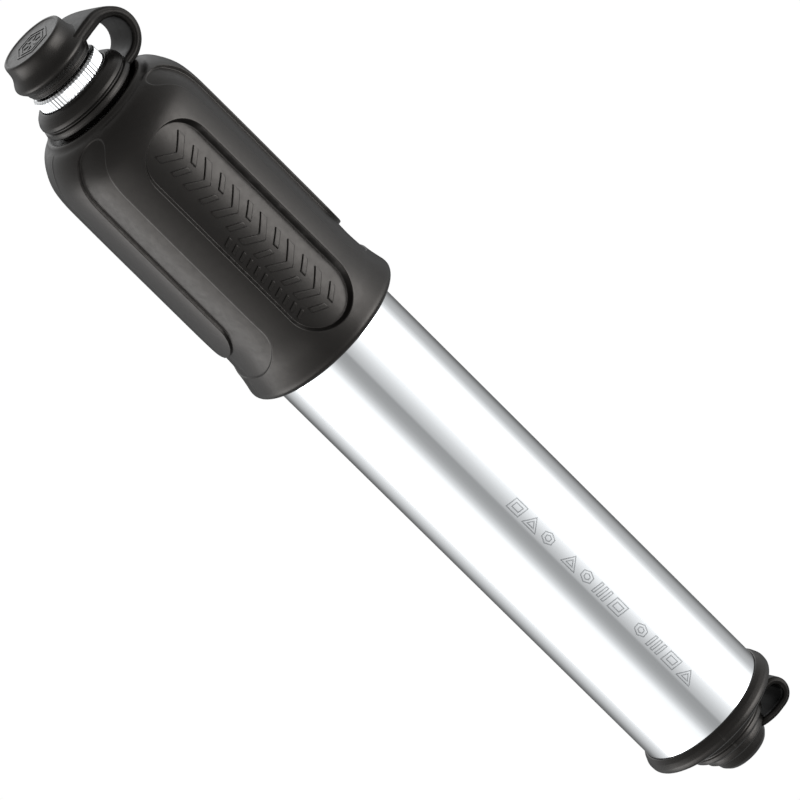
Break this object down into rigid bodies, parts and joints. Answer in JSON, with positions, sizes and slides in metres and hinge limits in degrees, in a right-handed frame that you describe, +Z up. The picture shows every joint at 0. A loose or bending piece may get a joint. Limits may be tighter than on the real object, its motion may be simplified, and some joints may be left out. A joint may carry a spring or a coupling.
{
  "type": "mini pump",
  "caption": "Slim hand pump for bicycle tyres: polished barrel sliding in a moulded rubber handle, stored hose under a tethered dust cap, tethered plug in the base port.",
  "frame": {"origin": "centre of the flat lower face of the port plug, on the pump's axis, at the closed length", "axes": "+Z up the pump's axis from the port plug to the dust cap; -Y faces the front panel of the grip; both rubber straps are on the +X side, the cap's 8 degrees behind it"},
  "size_m": [0.0304, 0.0304, 0.1754],
  "materials": {
    "polished_aluminium": "polished to a near mirror, fine lines along the tube",
    "knurled_aluminium": "bright straight knurl",
    "satin_aluminium": "turned, satin",
    "dark_aluminium": "dark anodised",
    "grip_rubber": "moulded, semi-matte",
    "soft_rubber": "soft moulded, semi-matte",
    "black_rubber": "matte",
    "natural_nylon": "matte",
    "white_ptfe": "waxy",
    "black_acetal": "satin",
    "spring_steel": "drawn wire",
    "brass": "turned"
  },
  "bodies": {
    "barrel": {"barrel_tube": "polished_aluminium", "base_plug": "satin_aluminium", "base_plug_oring": "black_rubber", "valve_spring": "spring_steel", "valve_retainer": "brass", "barrel_gland": "dark_aluminium", "gland_bush": "natural_nylon", "end_boot": "soft_rubber", "plug_strap": "soft_rubber"},
    "valve_poppet": {"valve_poppet": "natural_nylon"},
    "port_plug": {"port_plug": "soft_rubber"},
    "handle": {"grip": "grip_rubber", "handle_sleeve": "dark_aluminium", "handle_cap": "satin_aluminium", "closing_bumper": "black_rubber", "neck_ring": "soft_rubber", "cap_strap": "soft_rubber", "piston_rod": "satin_aluminium", "piston_head": "black_acetal", "piston_wear_ring": "white_ptfe", "piston_bumper": "black_rubber"},
    "piston_seal": {"piston_seal": "black_rubber"},
    "dust_cap": {"dust_cap": "soft_rubber"},
    "hose": {"hose_tube": "black_rubber", "hose_coupler": "satin_aluminium", "upper_ferrule": "brass", "knurled_chuck": "knurled_aluminium", "chuck_gasket": "black_rubber", "lower_ferrule": "brass", "hose_end_fitting": "satin_aluminium", "hose_end_oring": "black_rubber"},
    "bleed_button": {"bleed_button": "brass"}
  },
  "joints": [
    {"name": "handle_slide", "type": "slide", "parent": "barrel", "child": "handle", "axis": [0, 0, 1], "range_m": [0, 0.1]},
    {"name": "dust_cap_hinge", "type": "hinge", "parent": "handle", "child": "dust_cap", "pos_m": [0.01248, 0.00175, 0.167], "axis": [-0.1392, 0.9903, 0], "range_deg": [0, 130], "deforming": ["cap_strap"]},
    {"name": "hose_spin", "type": "hinge", "parent": "handle", "child": "hose", "pos_m": [0, 0, 0.161], "axis": [0, 0, 1], "continuous": true},
    {"name": "bleed_button_press", "type": "slide", "parent": "hose", "child": "bleed_button", "axis": [0, 1, 0], "range_m": [0, 0.0006]},
    {"name": "piston_seal_float", "type": "slide", "parent": "handle", "child": "piston_seal", "axis": [0, 0, 1], "range_m": [0, 0.0008]},
    {"name": "check_valve_lift", "type": "slide", "parent": "barrel", "child": "valve_poppet", "axis": [0, 0, -1], "range_m": [0, 0.0008], "deforming": ["valve_spring"]},
    {"name": "port_plug_hinge", "type": "hinge", "parent": "barrel", "child": "port_plug", "pos_m": [0.0094, 0, 0.0042], "axis": [0, -1, 0], "range_deg": [0, 120], "deforming": ["plug_strap"]}
  ]
}
